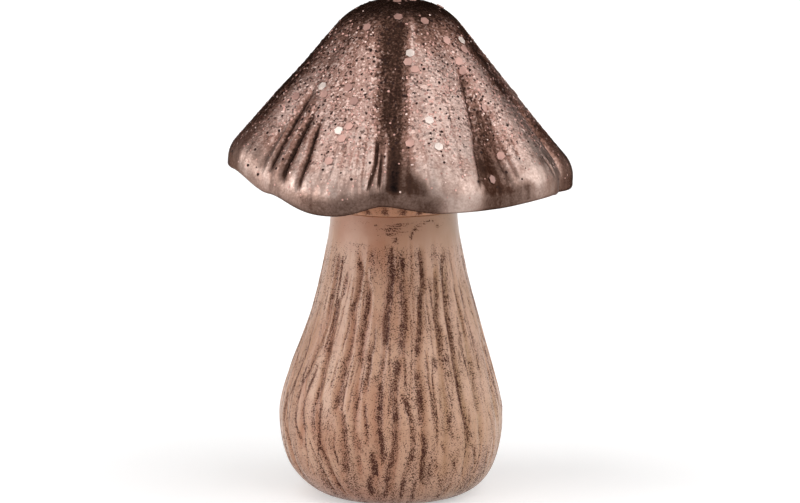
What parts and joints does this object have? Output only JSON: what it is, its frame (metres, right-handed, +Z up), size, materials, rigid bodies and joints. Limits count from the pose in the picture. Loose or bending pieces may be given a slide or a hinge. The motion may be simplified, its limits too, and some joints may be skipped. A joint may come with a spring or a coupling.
{
  "type": "mushroom ornament",
  "caption": "Free-standing decorative mushroom with a wavy metallic cap, gilled underside, glued glitter flakes and a grooved matt stem on a felt foot.",
  "frame": {"origin": "middle of the felt disc's lower face, on the stem's axis, where the ornament stands", "axes": "+Z up along the stem, -Y towards the pictured front, +X to that view's right"},
  "size_m": [0.1032, 0.0981, 0.1495],
  "materials": {
    "cap_lustre": "bronze-rose metallic lustre, satin, darker in the furrows, with fine glitter",
    "underside_bisque": "matt beige paint with brown wiped into the gills",
    "stem_bisque": "matt pinkish-beige paint, dark-brown patina wiped into wandering grooves",
    "cement": "set filler cement",
    "felt": "pressed brown felt",
    "flake_champagne": "metallised film, pale champagne, mirror-bright",
    "flake_rose": "metallised film, rose",
    "flake_brown": "metallised film, rose-brown"
  },
  "bodies": {
    "root": {"back_flake_brown_10": "flake_brown", "back_flake_brown_14": "flake_brown", "back_flake_brown_18": "flake_brown", "back_flake_brown_2": "flake_brown", "back_flake_brown_6": "flake_brown", "back_flake_champagne_12": "flake_champagne", "back_flake_champagne_16": "flake_champagne", "back_flake_champagne_20": "flake_champagne", "back_flake_champagne_4": "flake_champagne", "back_flake_champagne_8": "flake_champagne", "back_flake_rose_1": "flake_rose", "back_flake_rose_11": "flake_rose", "back_flake_rose_13": "flake_rose", "back_flake_rose_15": "flake_rose", "back_flake_rose_17": "flake_rose", "back_flake_rose_19": "flake_rose", "back_flake_rose_3": "flake_rose", "back_flake_rose_5": "flake_rose", "back_flake_rose_7": "flake_rose", "back_flake_rose_9": "flake_rose", "base_felt": "felt", "cap_shell": "cap_lustre", "front_flake_brown_1": "flake_brown", "front_flake_brown_2": "flake_brown", "front_flake_brown_3": "flake_brown", "front_flake_brown_4": "flake_brown", "front_flake_brown_5": "flake_brown", "front_flake_brown_6": "flake_brown", "front_flake_brown_7": "flake_brown", "front_flake_champagne_1": "flake_champagne", "front_flake_champagne_2": "flake_champagne", "front_flake_champagne_3": "flake_champagne", "front_flake_champagne_4": "flake_champagne", "front_flake_champagne_5": "flake_champagne", "front_flake_champagne_6": "flake_champagne", "front_flake_rose_1": "flake_rose", "front_flake_rose_10": "flake_rose", "front_flake_rose_11": "flake_rose", "front_flake_rose_12": "flake_rose", "front_flake_rose_13": "flake_rose", "front_flake_rose_14": "flake_rose", "front_flake_rose_15": "flake_rose", "front_flake_rose_2": "flake_rose", "front_flake_rose_3": "flake_rose", "front_flake_rose_4": "flake_rose", "front_flake_rose_5": "flake_rose", "front_flake_rose_6": "flake_rose", "front_flake_rose_7": "flake_rose", "front_flake_rose_8": "flake_rose", "front_flake_rose_9": "flake_rose", "gill_plate": "underside_bisque", "neck_cement": "cement", "rim_cement": "cement", "stem_shell": "stem_bisque"}
  },
  "joints": []
}
